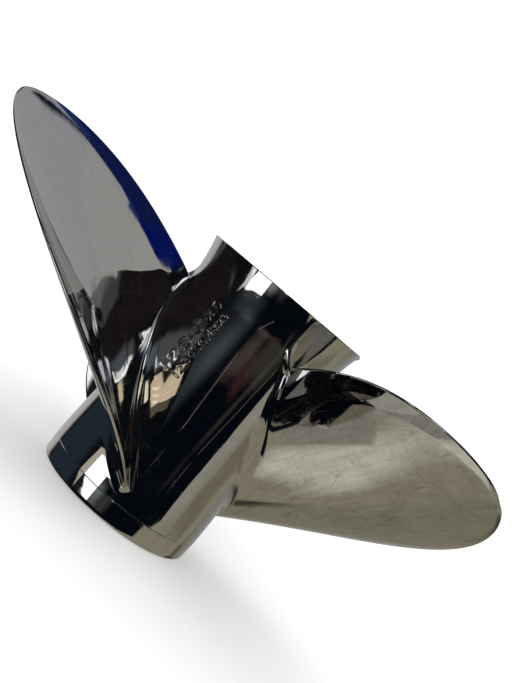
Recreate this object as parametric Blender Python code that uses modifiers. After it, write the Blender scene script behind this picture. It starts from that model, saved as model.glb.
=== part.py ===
"""Ship propeller: three left-hand blades on a hollow hub that the exhaust leaves through.

Metres, +Z up. The shaft axis is Z, with the forward end of the hub standing on Z = 0
and the flared exhaust end up. Ahead is down, astern is up.
"""
import math

import bmesh
import bpy
import numpy as np

INCH = 0.0254
GAP = 0.0003

# Propeller
NAME = "ship_propeller"
BLADE_COUNT = 3
TIP_RADIUS = 8 * INCH
PITCH = 18.5 * INCH
FIRST_BLADE = math.radians(-135)

# Hub barrel: length, and the outside radius at heights up the axis
BARREL_LENGTH = 0.1705
FRONT_RADIUS = 0.0554
COLLAR_RADIUS = 0.0559
COLLAR_HEIGHT = 0.0130
WAIST_RADIUS = 0.0545
WAIST_HEIGHT = 0.0600
FLARE_FOOT_RADIUS = 0.0547
FLARE_LENGTH = 0.0280
FLARE_POWER = 1.8
AFT_RADIUS = 0.0592
FRONT_ROUNDING = 0.0020
WALL = 0.0032
RIM_WALL = 0.0020

# Blade outline
ROOT_MIDDLE_HEIGHT = 0.0755
ROOT_HALF_ANGLE = math.radians(43.4)
OUTLINE_TAPER = 0.57
TIP_FULLNESS = 3.1
SKEW = math.radians(29.0)
SKEW_LINEAR = 0.35
RAKE = 0.0463
RAKE_POWER = 0.9
TRAILING_LIFT = 0.0055
LEADING_LIFT = 0.0044
CUP_ROOT_WIDTH = 0.0150
CUP_TIP_WIDTH = 0.0045
CUP_SHARE = 0.8
CUP_POWER = 1.5

# Blade thickness, the swell of its astern face near the root, and the root fillet
ROOT_THICKNESS = 0.0115
TIP_THICKNESS = 0.0024
NOSE_ROOT = 0.0018
NOSE_TIP = 0.0012
TRAILING_ROOT = 0.0024
TRAILING_TIP = 0.0012
SWELL = 0.0040
SWELL_REACH = 0.25
FILLET_RISE = 0.0042
FILLET_WIDTH = 0.0090
FILLET_AT_NOSE = 0.45
FILLET_AT_TAIL = 0.06

# Inner hub, ribs, bushing and sleeve
INNER_RADIUS = 0.0310
INNER_BORE = 0.0252
INNER_FRONT = 0.0080
INNER_AFT = 0.1280
SHOULDER_BORE = 0.0225
SHOULDER_HEIGHT = 0.1180
MOUTH_BORE = 0.0272
MOUTH_DEPTH = 0.0100
RIB_THICKNESS = 0.0060
RIB_FRONT = 0.0160
RIB_AFT = 0.1200
RIB_ROUNDING = 0.0020
RUBBER_FRONT = 0.0260
RUBBER_AFT = 0.1120
SLEEVE_RADIUS = 0.0172
SLEEVE_FRONT = 0.0200
SLEEVE_AFT = 0.1160
SLEEVE_BLANK_BORE = 0.0120
RUBBER_CHAMFER = 0.0015
SPLINE_COUNT = 15
SPLINE_CREST = 0.0128
SPLINE_VALLEY = 0.0142

# Fineness of the meshes
BARREL_STEPS = 96
TUBE_STEPS = 72
SPAN_STEPS = 15
ROOT_COLUMNS = 7
ACROSS = [math.sin(math.pi / 2 * step / 12) for step in range(-11, 12)]
SHARP = math.radians(35)


def material(name, color, metallic, roughness):
    """Principled material under its own name."""
    mat = bpy.data.materials.new(name)
    mat.use_nodes = True
    mat.diffuse_color = (*color, 1.0)
    shader = mat.node_tree.nodes["Principled BSDF"]
    shader.inputs["Base Color"].default_value = (*color, 1.0)
    shader.inputs["Metallic"].default_value = metallic
    shader.inputs["Roughness"].default_value = roughness
    return mat


def put(name, mesh, mat, collection):
    """Object for a mesh, with its material, in a collection."""
    mesh.materials.append(mat)
    obj = bpy.data.objects.new(name, mesh)
    collection.objects.link(obj)
    return obj


def turned(name, profile, mat, collection, steps):
    """Closed profile of (radius, height) points turned once around Z."""
    bm = bmesh.new()
    points = [bm.verts.new((radius, 0.0, height)) for radius, height in profile]
    for first, second in zip(points, points[1:] + points[:1]):
        bm.edges.new((first, second))
    mesh = bpy.data.meshes.new(name)
    bm.to_mesh(mesh)
    bm.free()
    obj = put(name, mesh, mat, collection)
    screw = obj.modifiers.new("turn", "SCREW")
    screw.axis = "Z"
    screw.steps = screw.render_steps = steps
    screw.use_merge_vertices = True
    screw.merge_threshold = 0.00001
    screw.use_smooth_shade = True
    return obj


def flare(foot_radius, rim_radius, shares):
    """Heights and radii of a curve that opens towards the aft rim."""
    foot = BARREL_LENGTH - FLARE_LENGTH
    return [(foot + FLARE_LENGTH * share, foot_radius + (rim_radius - foot_radius) * share ** FLARE_POWER)
            for share in shares]


def barrel_outside():
    """Heights and radii of the barrel's outside, from the front to the aft rim."""
    turns = [math.radians(angle) for angle in (0, 30, 60, 90)]
    rounding = [(FRONT_ROUNDING * (1 - math.cos(turn)), FRONT_RADIUS - FRONT_ROUNDING * (1 - math.sin(turn)))
                for turn in turns]
    return [*rounding, (COLLAR_HEIGHT, COLLAR_RADIUS), (WAIST_HEIGHT, WAIST_RADIUS),
            *flare(FLARE_FOOT_RADIUS, AFT_RADIUS, (0.0, 0.15, 0.35, 0.6, 0.8, 1.0))]


def barrel_radius(height):
    """Outside radius of the barrel at a height."""
    heights, radii = zip(*barrel_outside())
    return float(np.interp(height, heights, radii))


def barrel(mat, collection):
    """Hollow barrel with a collar in front and a flared exhaust rim behind."""
    bore = FLARE_FOOT_RADIUS - WALL
    outside = [(radius, height) for height, radius in reversed(barrel_outside())]
    inside = [(radius, height) for height, radius in flare(bore, AFT_RADIUS - RIM_WALL, (0.0, 0.35, 0.7, 1.0))]
    return turned("barrel", outside + [(bore, 0.0)] + inside, mat, collection, BARREL_STEPS)


def root_to_tip(root, tip, share):
    """Value that runs straight from the root to the tip."""
    return root + (tip - root) * share


def blade_radius(share, height):
    """Radius at a share of the span, on the barrel's skin at share 0."""
    root = barrel_radius(height) + GAP
    return root + (TIP_RADIUS - root) * share


def edge_thickness(share, across):
    """Thickness of the blade's edges, carried straight from one edge to the other."""
    nose = root_to_tip(NOSE_ROOT, NOSE_TIP, share)
    tail = root_to_tip(TRAILING_ROOT, TRAILING_TIP, share)
    return nose + (tail - nose) * (across + 1) / 2


def lift(share, across, chord):
    """How far the blade is bent astern of its helix; chord is half its width."""
    if across < 0:
        return LEADING_LIFT * across ** 2
    width = root_to_tip(CUP_ROOT_WIDTH, CUP_TIP_WIDTH, share)
    cup = max(0.0, 1 - (1 - across) * chord / width) ** CUP_POWER
    part = CUP_SHARE * width / CUP_ROOT_WIDTH
    return TRAILING_LIFT * ((1 - part) * across ** 2 + part * cup)


def blade_point(share, across, offset, past, azimuth):
    """Point of a blade: share of the span, place across it from -1 (leading) to 1 (trailing).

    offset is measured square to the blade towards astern, past along it towards the trailing edge.
    """
    half = ROOT_HALF_ANGLE * (1 - OUTLINE_TAPER * share ** 2) * math.sqrt(max(0.0, 1 - share ** TIP_FULLNESS))
    sweep = SKEW * (SKEW_LINEAR * share + (1 - SKEW_LINEAR) * share ** 2)
    advance = PITCH / (2 * math.pi)
    mean_radius = root_to_tip(WAIST_RADIUS, TIP_RADIUS, share)
    helix = math.hypot(mean_radius, advance)
    turn = sweep + across * half + past / helix
    slope = math.atan2(advance, mean_radius)
    height = ROOT_MIDDLE_HEIGHT + advance * turn + RAKE * share ** RAKE_POWER
    height += lift(share, across, half * helix) * (1 - share ** 6) + offset * math.cos(slope)
    radius = blade_radius(share, height)
    angle = azimuth - turn + offset * math.sin(slope) / mean_radius
    return (radius * math.cos(angle), radius * math.sin(angle), height)


def fillet_width(share):
    """How far the root fillet stands out from the blade's face."""
    below = 1 - (TIP_RADIUS - WAIST_RADIUS) * share / FILLET_RISE
    if below <= 0:
        return 0.0
    return FILLET_WIDTH * (1 - math.sqrt(1 - below ** 2))


def blade_sections(azimuth):
    """Rings of points from the root to the tip, and the grid of the root face."""
    span = TIP_RADIUS - WAIST_RADIUS
    shares = [rise * FILLET_RISE / span for rise in (0.0, 0.12, 0.4, 1.0)]
    shares += [math.sin(math.pi / 2 * step / SPAN_STEPS) for step in range(1, SPAN_STEPS)]

    def point(share, across, depth):
        """Point at a depth through the blade, 0 on its astern face and 1 on its forward face."""
        ends = 1 - (1 - (FILLET_AT_NOSE if across < 0 else FILLET_AT_TAIL)) * across ** 2
        width = fillet_width(share) * ends
        swell = SWELL * max(0.0, 1 - share / SWELL_REACH) ** 2 * ends
        edge = edge_thickness(share, across)
        full = edge + (root_to_tip(ROOT_THICKNESS, TIP_THICKNESS, share) - edge) * (1 - across ** 2)
        past = width * across * abs(across)
        if abs(across) == 1:
            past += across * edge / 2
        offset = edge / 2 + width + swell - (full + 2 * width + swell) * depth
        return blade_point(share, across, offset, past, azimuth)

    rings = []
    for share in shares:
        astern = [point(share, across, 0.0) for across in ACROSS]
        forward = [point(share, across, 1.0) for across in reversed(ACROSS)]
        rings.append([point(share, -1.0, 0.5)] + astern + [point(share, 1.0, 0.5)] + forward)
    grid = [[point(0.0, across, column / ROOT_COLUMNS) for column in range(1, ROOT_COLUMNS)]
            for across in ACROSS]
    return rings, grid


def blade(name, azimuth, mat, collection):
    """Lofted blade, closed by a root face that follows the barrel."""
    rings, grid = blade_sections(azimuth)
    bm = bmesh.new()
    rings = [[bm.verts.new(point) for point in ring] for ring in rings]
    tip = bm.verts.new(blade_point(1.0, 0.0, 0.0, 0.0, azimuth))
    count = len(rings[0])
    for inner, outer in zip(rings, rings[1:]):
        for index in range(count):
            after = (index + 1) % count
            bm.faces.new((inner[index], inner[after], outer[after], outer[index]))
    for index in range(count):
        bm.faces.new((rings[-1][index], rings[-1][(index + 1) % count], tip))

    root = rings[0]
    places = len(ACROSS)
    nose, astern, tail, forward = root[0], root[1:places + 1], root[places + 1], root[:places + 1:-1]
    rows = [[first] + [bm.verts.new(point) for point in middle] + [last]
            for first, middle, last in zip(astern, grid, forward)]
    for row, following in zip(rows, rows[1:]):
        for column in range(ROOT_COLUMNS):
            bm.faces.new((row[column], row[column + 1], following[column + 1], following[column]))
    for end, row in ((nose, rows[0]), (tail, rows[-1])):
        for column in range(ROOT_COLUMNS):
            bm.faces.new((end, row[column], row[column + 1]))
    bmesh.ops.recalc_face_normals(bm, faces=bm.faces)
    mesh = bpy.data.meshes.new(name)
    bm.to_mesh(mesh)
    bm.free()
    mesh.shade_smooth()
    mesh.set_sharp_from_angle(angle=SHARP)
    return put(name, mesh, mat, collection)


def inner_hub(mat, collection):
    """Tube the bushing is pressed into, with a thrust seat in front and a shoulder behind."""
    profile = [(INNER_RADIUS, INNER_AFT), (INNER_RADIUS, INNER_FRONT), (MOUTH_BORE, INNER_FRONT),
               (INNER_BORE, INNER_FRONT + MOUTH_DEPTH), (INNER_BORE, SHOULDER_HEIGHT),
               (SHOULDER_BORE, SHOULDER_HEIGHT), (SHOULDER_BORE, INNER_AFT)]
    return turned("inner_hub", profile, mat, collection, TUBE_STEPS)


def rib(name, azimuth, mat, collection):
    """Wall that carries the inner hub in the barrel, lengthwise through the exhaust passage."""
    inner = INNER_RADIUS + GAP
    bore = FLARE_FOOT_RADIUS - WALL - GAP
    outer = math.sqrt(bore ** 2 - (RIB_THICKNESS / 2) ** 2)
    size = (outer - inner, RIB_THICKNESS, RIB_AFT - RIB_FRONT)
    bm = bmesh.new()
    bmesh.ops.create_cube(bm, size=1.0)
    bmesh.ops.scale(bm, vec=size, verts=bm.verts)
    mesh = bpy.data.meshes.new(name)
    bm.to_mesh(mesh)
    bm.free()
    obj = put(name, mesh, mat, collection)
    middle = (inner + outer) / 2
    obj.location = (middle * math.cos(azimuth), middle * math.sin(azimuth), (RIB_FRONT + RIB_AFT) / 2)
    obj.rotation_euler = (0.0, 0.0, azimuth)
    bevel = obj.modifiers.new("cast_edges", "BEVEL")
    bevel.width = RIB_ROUNDING
    bevel.segments = 2
    bevel.limit_method = "WEIGHT"
    weights = mesh.attributes.new("bevel_weight_edge", "FLOAT", "EDGE")
    for edge in mesh.edges:
        first, second = (mesh.vertices[index].co for index in edge.vertices)
        if abs(first.z - second.z) < GAP and abs(first.y - second.y) < GAP:
            weights.data[edge.index].value = 1.0
    return obj


def rubber_bushing(mat, collection):
    """Rubber ring pressed between the inner hub and the sleeve."""
    outer, inner = INNER_BORE - GAP, SLEEVE_RADIUS + GAP
    profile = [(outer, RUBBER_AFT - RUBBER_CHAMFER), (outer, RUBBER_FRONT + RUBBER_CHAMFER),
               (outer - RUBBER_CHAMFER, RUBBER_FRONT), (inner, RUBBER_FRONT),
               (inner, RUBBER_AFT), (outer - RUBBER_CHAMFER, RUBBER_AFT)]
    return turned("rubber_bushing", profile, mat, collection, TUBE_STEPS)


def splined_sleeve(mat, collection, cutters):
    """Sleeve that slides on the shaft's splines."""
    profile = [(SLEEVE_RADIUS, SLEEVE_AFT), (SLEEVE_RADIUS, SLEEVE_FRONT),
               (SLEEVE_BLANK_BORE, SLEEVE_FRONT), (SLEEVE_BLANK_BORE, SLEEVE_AFT)]
    sleeve = turned("splined_sleeve", profile, mat, collection, TUBE_STEPS)

    bm = bmesh.new()
    height = 2 * (SLEEVE_AFT - SLEEVE_FRONT)
    bmesh.ops.create_cone(bm, cap_ends=True, segments=4 * SPLINE_COUNT,
                          radius1=SPLINE_VALLEY, radius2=SPLINE_VALLEY, depth=height)
    for vert in bm.verts:
        place = round(math.atan2(vert.co.y, vert.co.x) / (math.pi / 2 / SPLINE_COUNT) - 0.5)
        if place % 4 in (0, 1):
            vert.co.xy *= SPLINE_CREST / SPLINE_VALLEY
    mesh = bpy.data.meshes.new("spline_cutter")
    bm.to_mesh(mesh)
    bm.free()
    cutter = put("spline_cutter", mesh, mat, cutters)
    cutter.location.z = (SLEEVE_FRONT + SLEEVE_AFT) / 2
    cutter.hide_render = True
    cutter.display_type = "WIRE"
    cut = sleeve.modifiers.new("splines", "BOOLEAN")
    cut.operation = "DIFFERENCE"
    cut.solver = "EXACT"
    cut.object = cutter
    return sleeve


def main():
    """Build the propeller."""
    for obj in list(bpy.data.objects):
        bpy.data.objects.remove(obj, do_unlink=True)
    part = bpy.data.collections.new(NAME)
    cutters = bpy.data.collections.new("cutters")
    bpy.context.scene.collection.children.link(part)
    bpy.context.scene.collection.children.link(cutters)

    steel = material("polished_stainless", (0.62, 0.62, 0.61), 1.0, 0.12)
    cast = material("cast_stainless", (0.42, 0.42, 0.41), 1.0, 0.45)
    rubber = material("black_rubber", (0.02, 0.02, 0.02), 0.0, 0.75)
    brass = material("sleeve_brass", (0.55, 0.40, 0.16), 1.0, 0.35)

    barrel(steel, part)
    inner_hub(cast, part)
    for index in range(BLADE_COUNT):
        azimuth = FIRST_BLADE + index * 2 * math.pi / BLADE_COUNT
        blade("blade_%d" % (index + 1), azimuth, steel, part)
        rib("rib_%d" % (index + 1), azimuth, cast, part)
    rubber_bushing(rubber, part)
    splined_sleeve(brass, part, cutters)


main()
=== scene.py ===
import logging
import math
from collections.abc import Callable
from dataclasses import dataclass, field, replace
from enum import Enum

import bpy
import numpy as np
from mathutils import Matrix, Vector


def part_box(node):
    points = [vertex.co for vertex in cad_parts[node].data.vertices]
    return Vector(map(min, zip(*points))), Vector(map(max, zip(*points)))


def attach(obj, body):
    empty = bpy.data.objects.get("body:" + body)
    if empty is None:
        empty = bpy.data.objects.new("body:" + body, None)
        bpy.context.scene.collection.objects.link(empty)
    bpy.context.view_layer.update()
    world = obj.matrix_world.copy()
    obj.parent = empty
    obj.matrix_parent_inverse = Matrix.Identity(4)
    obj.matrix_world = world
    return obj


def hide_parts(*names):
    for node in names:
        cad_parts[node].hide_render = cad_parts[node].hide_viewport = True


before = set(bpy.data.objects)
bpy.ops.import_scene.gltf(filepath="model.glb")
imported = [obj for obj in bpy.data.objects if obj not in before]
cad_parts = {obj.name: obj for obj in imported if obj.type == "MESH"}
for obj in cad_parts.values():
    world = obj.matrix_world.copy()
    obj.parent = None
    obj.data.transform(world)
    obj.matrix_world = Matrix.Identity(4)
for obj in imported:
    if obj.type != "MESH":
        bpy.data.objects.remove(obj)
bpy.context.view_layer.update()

LOG = logging.getLogger("ship_propeller")
BODY = "root"
INCH = 0.0254
SEAM = 2e-6

Piece = bpy.types.Object
Material = bpy.types.Material
Socket = bpy.types.NodeSocket
Color = tuple[float, float, float]
Value = float | tuple[float, ...] | Socket
Profile = list[tuple[float, float]]
Placing = Callable[[np.ndarray, np.ndarray], np.ndarray]


class Slot(Enum):
    """Material slots of the record, one for each kind of finish."""

    STEEL = "polished_stainless"
    CASTING = "cast_stainless"
    RUBBER = "black_rubber"
    BRASS = "sleeve_brass"


def between(first: np.ndarray | float, last: np.ndarray | float, share: np.ndarray | float) -> np.ndarray:
    """Value at a share of the way from a first value to a last one."""
    return first + (last - first) * share


def deselect_all() -> None:
    """Leave nothing selected and nothing active."""
    for obj in bpy.context.selected_objects:
        obj.select_set(False)
    bpy.context.view_layer.objects.active = None


def dress(obj: Piece, name: str, mat: Material, slot: Slot, *nodes: str) -> Piece:
    """Name a finished piece, give it its finish and let it ride on the frame.

    Args:
        obj: The finished piece.
        name: Its name.
        mat: Its material.
        slot: The record's slot of that finish. It is not used.
        nodes: The CAD nodes that the piece stands for.

    Returns:
        The same piece.
    """
    obj.name = name
    obj.data.name = name
    obj.data.materials.clear()
    obj.data.materials.append(mat)
    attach(obj, BODY)
    if nodes:
        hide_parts(*nodes)
    LOG.info("%s: %d faces", name, len(obj.data.polygons))
    return obj


def corners(obj: Piece) -> np.ndarray:
    """Read the places of a mesh's vertices.

    Args:
        obj: The object.

    Returns:
        The places, one row each.
    """
    flat = np.zeros(len(obj.data.vertices) * 3)
    obj.data.vertices.foreach_get("co", flat)
    return flat.reshape(-1, 3)


def reshape(obj: Piece, points: np.ndarray, merge: float, sharp: float, close_ends: bool = False) -> Piece:
    """Move the vertices of the active mesh, join those that meet and turn its faces outwards.

    Args:
        obj: The object, which is the active one.
        points: The new places of its vertices.
        merge: Distance below which vertices are joined.
        sharp: Angle in degrees above which an edge stays sharp.
        close_ends: Whether its open ends are closed.

    Returns:
        The same object.
    """
    obj.data.vertices.foreach_set("co", points.ravel())
    obj.data.update()
    bpy.ops.object.mode_set(mode="EDIT")
    bpy.ops.mesh.select_all(action="SELECT")
    bpy.ops.mesh.remove_doubles(threshold=merge)
    if close_ends:
        bpy.ops.mesh.select_all(action="SELECT")
        bpy.ops.mesh.fill_holes(sides=0)
    bpy.ops.mesh.select_all(action="SELECT")
    bpy.ops.mesh.normals_make_consistent(inside=False)
    bpy.ops.object.mode_set(mode="OBJECT")
    bpy.ops.object.shade_smooth_by_angle(angle=math.radians(sharp))
    return obj


def around(radius: np.ndarray, angle: np.ndarray, height: np.ndarray) -> np.ndarray:
    """Points around the shaft axis.

    Args:
        radius: Their distances from the axis.
        angle: Their azimuths in radians.
        height: Their heights.

    Returns:
        The points, one row each.
    """
    return np.stack([radius * np.cos(angle), radius * np.sin(angle), height], axis=-1)


def skinned(rows: int, columns: int, place: Placing, sharp: float, rows_join: bool = False) -> Piece:
    """Shape a grid into a skin whose columns run right round, with its open ends closed.

    Args:
        rows: Number of rows.
        columns: Number of columns around.
        place: Gives the points for arrays of row and column numbers.
        sharp: Angle in degrees above which an edge stays sharp.
        rows_join: Whether the last row meets the first one, as on a ring.

    Returns:
        The closed piece.
    """
    steps = rows if rows_join else rows - 1
    deselect_all()
    bpy.ops.mesh.primitive_grid_add(x_subdivisions=columns, y_subdivisions=steps, size=2.0)
    obj = bpy.context.object
    x, y, _ = corners(obj).T
    column = np.rint((x + 1) / 2 * columns).astype(int) % columns
    row = np.rint((y + 1) / 2 * steps).astype(int) % rows
    return reshape(obj, place(row, column), SEAM, sharp, close_ends=True)


def turned(profile: Profile, steps: int, sharp: float) -> Piece:
    """Turn a closed profile once around the shaft axis.

    Args:
        profile: Points (radius, height) around the section.
        steps: Number of steps of the turn.
        sharp: Angle in degrees above which an edge stays sharp.

    Returns:
        The turned piece.
    """
    points = np.array(profile)

    def place(row: np.ndarray, column: np.ndarray) -> np.ndarray:
        """Points of the turned skin by row and column."""
        radius, height = points[row].T
        return around(radius, 2 * math.pi * column / steps, height)

    return skinned(len(points), steps, place, sharp, rows_join=True)


def arc(centre: tuple[float, float], radius: float, start: float, end: float, steps: int) -> Profile:
    """Points on an arc in the plane of radius and height.

    Args:
        centre: Centre of the arc.
        radius: Radius of the arc.
        start: First angle in degrees, from outwards towards up.
        end: Last angle in degrees.
        steps: Number of stretches.

    Returns:
        The points, both ends included.
    """
    angles = [math.radians(between(start, end, step / steps)) for step in range(steps + 1)]
    return [(centre[0] + radius * math.cos(angle), centre[1] + radius * math.sin(angle)) for angle in angles]


def wall(radius: float, start: float, end: float, steps: int) -> Profile:
    """Points on a straight wall along the axis.

    Args:
        radius: Radius of the wall.
        start: Height of its first end.
        end: Height of its last end.
        steps: Number of stretches.

    Returns:
        The points, both ends left out.
    """
    return [(radius, height) for height in np.linspace(start, end, steps + 1)[1:-1]]


class Sketch:
    """Node tree with short ways to add and join nodes."""

    def __init__(self, tree: bpy.types.NodeTree) -> None:
        """Take up a node tree.

        Args:
            tree: The node tree.
        """
        self.tree = tree

    def feed(self, socket: Socket, value: Value) -> None:
        """Give an input its value.

        Args:
            socket: The input.
            value: A value, a colour in three parts, or the socket that it is joined to.
        """
        if isinstance(value, Socket):
            self.tree.links.new(value, socket)
        else:
            socket.default_value = (*value, 1.0) if socket.type == "RGBA" else value

    def add(self, kind: str, inputs: dict[str | int, Value], **settings: str) -> bpy.types.Node:
        """Add a node.

        Args:
            kind: Type of the node, without the words ShaderNode.
            inputs: Values or sockets for its inputs, by name or number.
            settings: Its other settings.

        Returns:
            The node.
        """
        node = self.tree.nodes.new("ShaderNode" + kind)
        for key, setting in settings.items():
            setattr(node, key, setting)
        for key, value in inputs.items():
            self.feed(node.inputs[key], value)
        return node

    def reckon(self, operation: str, *values: Value) -> Socket:
        """Work out a sum.

        Args:
            operation: Name of the operation.
            values: Its values or sockets.

        Returns:
            The result.
        """
        return self.add("Math", dict(enumerate(values)), operation=operation).outputs[0]

    def vector(self, operation: str, *values: Value) -> Socket:
        """Work out a sum of vectors.

        Args:
            operation: Name of the operation.
            values: Its vectors or sockets.

        Returns:
            The result, a number for a length or a product that gives one.
        """
        node = self.add("VectorMath", dict(enumerate(values)), operation=operation)
        return node.outputs["Value" if operation in ("DOT_PRODUCT", "LENGTH") else "Vector"]

    def spread(self, value: Socket, start: float, end: float, top: float = 1.0) -> Socket:
        """Stretch a range of a value to one from 0, and keep it there.

        Args:
            value: The value.
            start: What becomes 0.
            end: What becomes the top.
            top: The highest result.

        Returns:
            The new value.
        """
        inputs = {"Value": value, "From Min": start, "From Max": end, "To Max": top}
        return self.add("MapRange", inputs).outputs["Result"]

    def within(self, value: Socket, half: float, softness: float) -> Socket:
        """Tell where a value is near nought, with a soft edge.

        Args:
            value: The value.
            half: How far from nought the middle of the edge lies.
            softness: Width of the edge.

        Returns:
            1 near nought and 0 past the edge.
        """
        inputs = {"Value": self.reckon("ABSOLUTE", value), "From Min": half + softness / 2,
                  "From Max": half - softness / 2}
        return self.add("MapRange", inputs, interpolation_type="SMOOTHSTEP").outputs["Result"]

    def blend(self, share: Socket, first: Value, second: Value) -> Socket:
        """Mix two values or colours.

        Args:
            share: Share of the second.
            first: First value, colour or socket.
            second: Second value, colour or socket, of which one at least is no socket.

        Returns:
            The mix.
        """
        is_color = isinstance(first, tuple) or isinstance(second, tuple)
        inputs = {"Factor": share, "A": first, "B": second}
        return self.add("Mix", inputs, data_type="RGBA" if is_color else "FLOAT").outputs["Result"]


class FinishSketch(Sketch):
    """Sketch of one material, with the patterns that the finishes are made of."""

    def __init__(self, name: str) -> None:
        """Start a material with a Principled shader.

        Args:
            name: Name of the material.
        """
        self.material = bpy.data.materials.new(name)
        self.material.use_nodes = True
        super().__init__(self.material.node_tree)
        self.shader = self.tree.nodes["Principled BSDF"]
        self.place = self.add("TexCoord", {}).outputs["Object"]

    def combed(self, azimuth: float, rise: float, along: float, across: float) -> Socket:
        """Object place, long in one direction and fine across it.

        Args:
            azimuth: The direction's azimuth in degrees.
            rise: The direction's rise in degrees.
            along: Scale in the direction.
            across: Scale across it.

        Returns:
            The place.
        """
        turn, lift = math.radians(azimuth), math.radians(rise)
        line = (math.cos(turn) * math.cos(lift), math.sin(turn) * math.cos(lift), math.sin(lift))
        amount = self.reckon("MULTIPLY", self.vector("DOT_PRODUCT", self.place, line), along - across)
        pull = self.vector("MULTIPLY", line, amount)
        return self.vector("MULTIPLY_ADD", self.place, (across,) * 3, pull)

    def around_shaft(self, per_metre: float, per_radian: float) -> Socket:
        """Place measured in turning marks: fine along the shaft, long around it.

        Args:
            per_metre: Marks per metre along the shaft.
            per_radian: Marks per radian around it.

        Returns:
            The place.
        """
        parts = self.add("SeparateXYZ", {0: self.place}).outputs
        turn = self.reckon("MULTIPLY", self.reckon("ARCTAN2", parts["Y"], parts["X"]), per_radian)
        rise = self.reckon("MULTIPLY", parts["Z"], per_metre)
        radius = self.reckon("MULTIPLY", self.distance(), per_metre)
        return self.add("CombineXYZ", {0: turn, 1: rise, 2: radius}).outputs[0]

    def distance(self) -> Socket:
        """Distance in metres from the shaft axis."""
        return self.vector("LENGTH", self.vector("MULTIPLY", self.place, (1.0, 1.0, 0.0)))

    def cells(self, scale: float) -> Socket:
        """Distance to the nearest of scattered points.

        Args:
            scale: Points per metre.

        Returns:
            The distance, as a share of their usual spacing.
        """
        return self.add("TexVoronoi", {"Vector": self.place, "Scale": scale}).outputs["Distance"]

    def lines(self, noise: Socket, half_width: float, full_share: float = 0.3) -> Socket:
        """Thin curved lines where a noise passes its middle.

        Args:
            noise: The noise.
            half_width: How far from its middle the lines end.
            full_share: Share of that width over which they are full.

        Returns:
            1 on the lines and 0 beside them.
        """
        off = self.reckon("ABSOLUTE", self.reckon("SUBTRACT", noise, 0.5))
        return self.spread(off, half_width, full_share * half_width)

    def relief(self, *layers: tuple[Socket, float]) -> Socket | None:
        """Raise the surface by heights, layer over layer.

        Args:
            layers: Each layer's height from 0 to 1, and what a height of 1 measures in metres.

        Returns:
            The surface's direction.
        """
        normal = None
        for height, depth in layers:
            inputs = {"Height": height, "Distance": depth, "Strength": 1.0}
            if normal is not None:
                inputs["Normal"] = normal
            normal = self.add("Bump", inputs).outputs["Normal"]
        return normal

    def finish(self, color: Value, roughness: Value, metallic: float,
               normal: Socket | None = None) -> Material:
        """Give the shader its values.

        Args:
            color: Colour or socket.
            roughness: Roughness or socket.
            metallic: Metallic value.
            normal: The surface's direction, if it has a relief.

        Returns:
            The material.
        """
        for name, value in (("Base Color", color), ("Roughness", roughness), ("Metallic", metallic),
                            ("Normal", normal)):
            if value is not None:
                self.feed(self.shader.inputs[name], value)
        return self.material


@dataclass(frozen=True)
class Noise:
    """Soft noise, about 0.3 to 0.7 high: its scale, its detail and how far it is stirred."""

    scale: float
    detail: float
    stir: float

    def read(self, sketch: FinishSketch, place: Socket | None = None) -> Socket:
        """Make the noise.

        Args:
            sketch: The material.
            place: Where it is read, which is the object place if left out.

        Returns:
            The noise.
        """
        where = sketch.place if place is None else place
        inputs = {"Vector": where, "Scale": self.scale, "Detail": self.detail, "Distortion": self.stir}
        return sketch.add("TexNoise", inputs).outputs["Fac"]


@dataclass(frozen=True)
class Marks(Noise):
    """Marks that begin where the noise is at the start value and are at the top from the end value on."""

    start: float
    end: float
    top: float = 1.0

    def strength(self, sketch: FinishSketch, place: Socket | None = None) -> Socket:
        """Make the marks.

        Args:
            sketch: The material.
            place: Where their noise is read, which is the object place if left out.

        Returns:
            Their strength.
        """
        return sketch.spread(self.read(sketch, place), self.start, self.end, self.top)


@dataclass(frozen=True)
class Grain(Noise):
    """Uneven surface that follows the noise, with its depth in metres."""

    depth: float

    def layer(self, sketch: FinishSketch, place: Socket | None = None) -> tuple[Socket, float]:
        """Make one layer of relief.

        Args:
            sketch: The material.
            place: Where its noise is read, which is the object place if left out.

        Returns:
            Its height and its depth.
        """
        return self.read(sketch, place), self.depth


@dataclass(frozen=True)
class Scratches:
    """Scratches that run one way, in patches.

    Their direction is in degrees from the azimuth of the piece and from level. The scales along it
    and across it give their length and spacing.
    """

    turn: float
    rise: float
    along: float
    across: float
    curl: float
    half_width: float
    patches: Marks

    def strength(self, sketch: FinishSketch, azimuth: float) -> Socket:
        """Make the scratches.

        Args:
            sketch: The material.
            azimuth: Azimuth of the piece in degrees.

        Returns:
            Their strength, from 0 to 1.
        """
        place = sketch.combed(azimuth + self.turn, self.rise, self.along, self.across)
        marks = sketch.lines(Noise(1.0, 2.0, self.curl).read(sketch, place), self.half_width)
        return sketch.reckon("MULTIPLY", marks, self.patches.strength(sketch))


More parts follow.
